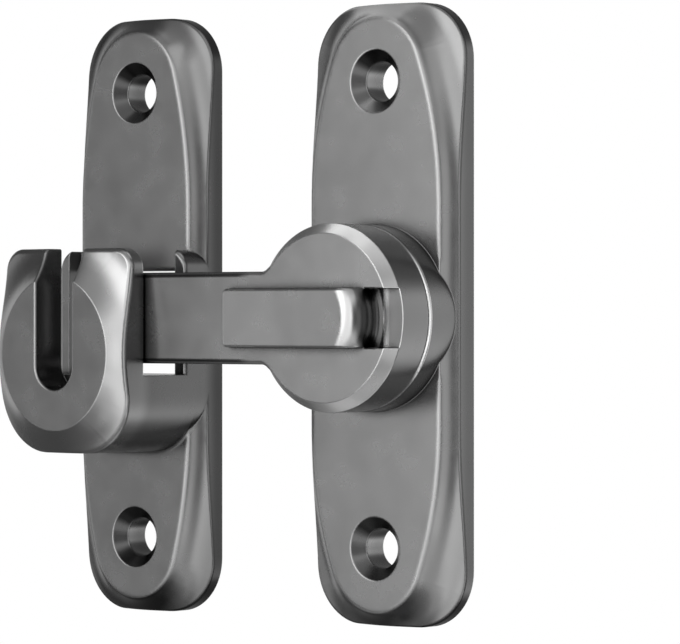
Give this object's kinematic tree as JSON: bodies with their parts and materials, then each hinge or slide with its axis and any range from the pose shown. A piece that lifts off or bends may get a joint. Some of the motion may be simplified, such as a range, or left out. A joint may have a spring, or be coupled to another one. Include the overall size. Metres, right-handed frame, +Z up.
{
  "type": "flip latch",
  "caption": "Flip latch in two halves: a lever turns on a round boss and drops into the open channel of a catch on the other plate.",
  "frame": {"origin": "middle between the latch plate's two screw holes, at the plate's back, which lies on the wall plane", "axes": "+X to the right, away from the keeper plate; +Y into the wall; +Z up, towards the catch's open top"},
  "size_m": [0.0828, 0.0256, 0.1],
  "materials": {
    "die_cast_plates": "satin grey die-cast zinc",
    "die_cast_lever": "satin grey die-cast zinc",
    "nylon": "natural nylon",
    "spring_steel": "hardened spring steel",
    "plated_steel": "bright zinc plating"
  },
  "bodies": {
    "plates": {"keeper_plate": "die_cast_plates", "latch_plate": "die_cast_plates", "friction_washer": "nylon"},
    "lever": {"lever": "die_cast_lever", "disc_spring": "spring_steel", "retaining_washer": "plated_steel", "pivot_screw": "plated_steel"}
  },
  "joints": [
    {"name": "lever_turn", "type": "hinge", "parent": "plates", "child": "lever", "pos_m": [0, 0, -0.0005], "axis": [0, 1, 0], "range_deg": [0, 180]}
  ]
}
